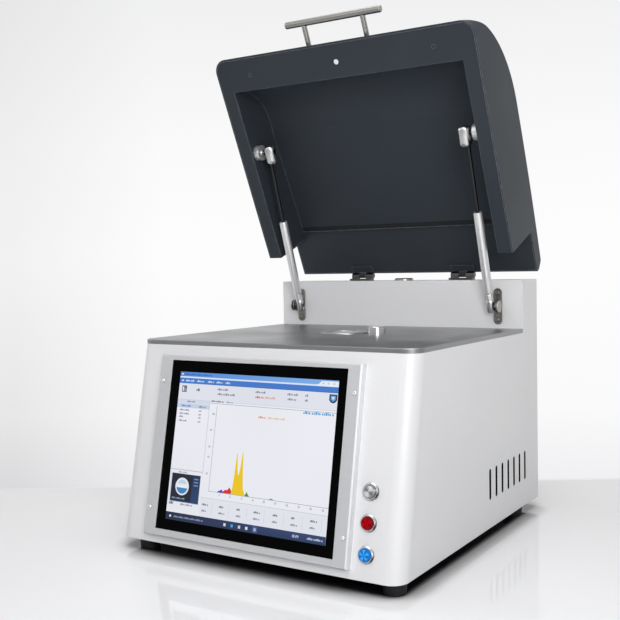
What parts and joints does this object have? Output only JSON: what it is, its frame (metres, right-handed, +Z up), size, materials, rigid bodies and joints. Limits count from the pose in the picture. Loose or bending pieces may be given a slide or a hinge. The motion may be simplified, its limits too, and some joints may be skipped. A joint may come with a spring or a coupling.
{
  "type": "gold testing machine",
  "caption": "Bench-top X-ray gold tester: white steel body with a leaning touch screen and push buttons, a steel sample plate, and a dark shielding lid held open by gas struts.",
  "frame": {"origin": "centre of the footprint of the bounding box at bench level, with the lid open", "axes": "+Z up, +X towards the operator's right, +Y from the operator towards the back"},
  "size_m": [0.424, 0.4996, 0.7284],
  "materials": {
    "white_coat": "satin fine-textured powder coat",
    "dark_coat": "satin fine-textured powder coat",
    "black_rubber": "matt moulded",
    "bright_steel": "zinc plated",
    "dark_steel": "blackened",
    "plate_steel": "brushed, bright cut edge",
    "polished_steel": "polished",
    "handle_steel": "fine brushed",
    "frame_aluminium": "brushed and anodised",
    "machined_aluminium": "machined",
    "strut_silver": "silver lacquer",
    "screen_glass": "black bordered, glossy",
    "clear_film": "thin clear film",
    "dark_plastic": "moulded",
    "white_plastic": "moulded",
    "blue_plastic": "clear moulded dome",
    "red_plastic": "clear moulded dome",
    "silver_plastic": "metallised dome",
    "black_iron": "black enamel",
    "standoff_brass": "turned",
    "board_green": "solder resist"
  },
  "bodies": {
    "base": {"base_pan": "black_iron", "board_standoffs": "standoff_brass", "button_bezels": "polished_steel", "button_nuts": "bright_steel", "camera_module": "dark_plastic", "circuit_boards": "board_green", "cooling_fan_frame": "dark_plastic", "data_ports": "bright_steel", "detector": "machined_aluminium", "display_back_plate": "bright_steel", "display_frame": "frame_aluminium", "fan_guard": "bright_steel", "feet": "black_rubber", "foot_screws": "bright_steel", "frame_screws": "bright_steel", "front_panel": "white_coat", "heat_sink": "machined_aluminium", "high_voltage_supply": "black_iron", "hinge_base_leaves": "bright_steel", "hinge_pins": "bright_steel", "interlock_sensor": "dark_plastic", "lcd_panel": "dark_plastic", "left_side_panel": "white_coat", "lid_stop": "polished_steel", "lower_strut_brackets": "dark_steel", "mains_inlet": "dark_plastic", "measuring_head": "machined_aluminium", "power_supply": "bright_steel", "rear_panel": "white_coat", "right_side_panel": "white_coat", "sample_post": "polished_steel", "steel_screws": "bright_steel", "switch_bodies": "dark_plastic", "top_plate": "plate_steel", "touch_glass": "screen_glass", "tower_cover": "white_coat", "tube_housing": "machined_aluminium", "wheel_motor": "black_iron", "window_film": "clear_film", "window_ring": "bright_steel", "xray_tube": "polished_steel"},
    "lid": {"lid_shell": "dark_coat", "lid_rim": "dark_coat", "interlock_magnet": "white_plastic", "rim_screws": "dark_steel", "lid_liner": "dark_coat", "lid_rear_panel": "dark_coat", "lift_handle": "handle_steel", "hinge_lid_leaves": "dark_steel", "upper_strut_mounts": "bright_steel"},
    "left_tube": {"left_strut_tube": "strut_silver"},
    "left_rod": {"left_strut_rod": "bright_steel"},
    "right_tube": {"right_strut_tube": "strut_silver"},
    "right_rod": {"right_strut_rod": "bright_steel"},
    "silver_actuator": {"silver_button": "silver_plastic"},
    "red_actuator": {"red_button": "red_plastic"},
    "blue_actuator": {"blue_button": "blue_plastic"},
    "wheel": {"filter_wheel": "machined_aluminium"},
    "rotor": {"fan_rotor": "dark_plastic"},
    "rocker": {"main_switch": "red_plastic"}
  },
  "joints": [
    {"name": "lid_hinge", "type": "hinge", "parent": "base", "child": "lid", "pos_m": [0, 0.23116, 0.3566], "axis": [1, 0, 0], "range_deg": [0, 64.5]},
    {"name": "left_strut_swing", "type": "hinge", "parent": "base", "child": "left_tube", "pos_m": [-0.168, 0.15066, 0.3094], "axis": [1, 0, 0], "range_deg": [-0.5, 76.9]},
    {"name": "left_strut_slide", "type": "slide", "parent": "left_tube", "child": "left_rod", "axis": [0, -0.3235, 0.9462], "range_m": [-0.08977, 0.0003]},
    {"name": "right_strut_swing", "type": "hinge", "parent": "base", "child": "right_tube", "pos_m": [0.168, 0.15066, 0.3094], "axis": [1, 0, 0], "range_deg": [-0.5, 76.9]},
    {"name": "right_strut_slide", "type": "slide", "parent": "right_tube", "child": "right_rod", "axis": [0, -0.3235, 0.9462], "range_m": [-0.08977, 0.0003]},
    {"name": "blue_button_press", "type": "slide", "parent": "base", "child": "blue_actuator", "axis": [0, 0.9803, -0.1973], "range_m": [0, 0.0025], "stiffness_N_per_m": 600, "springref_m": -0.0005},
    {"name": "red_button_press", "type": "slide", "parent": "base", "child": "red_actuator", "axis": [0, 0.9803, -0.1973], "range_m": [0, 0.0025], "stiffness_N_per_m": 600, "springref_m": -0.0005},
    {"name": "silver_button_press", "type": "slide", "parent": "base", "child": "silver_actuator", "axis": [0, 0.9803, -0.1973], "range_m": [0, 0.0025], "stiffness_N_per_m": 600, "springref_m": -0.0005},
    {"name": "filter_wheel_spin", "type": "hinge", "parent": "base", "child": "wheel", "pos_m": [0, 0.06066, 0.2044], "axis": [0, 0, 1], "continuous": true},
    {"name": "fan_spin", "type": "hinge", "parent": "base", "child": "rotor", "pos_m": [0.128, 0.20166, 0.12], "axis": [0, 1, 0], "continuous": true},
    {"name": "main_switch_tilt", "type": "hinge", "parent": "base", "child": "rocker", "pos_m": [-0.14, 0.22966, 0.074], "axis": [1, 0, 0], "range_deg": [0, 18]}
  ],
  "couplings": [
    {"joint": "left_strut_swing", "follows": "lid_hinge", "ratio": 1.1843},
    {"joint": "left_strut_slide", "follows": "lid_hinge", "m_per_rad": -0.079473},
    {"joint": "right_strut_swing", "follows": "lid_hinge", "ratio": 1.1843},
    {"joint": "right_strut_slide", "follows": "lid_hinge", "m_per_rad": -0.079473}
  ]
}
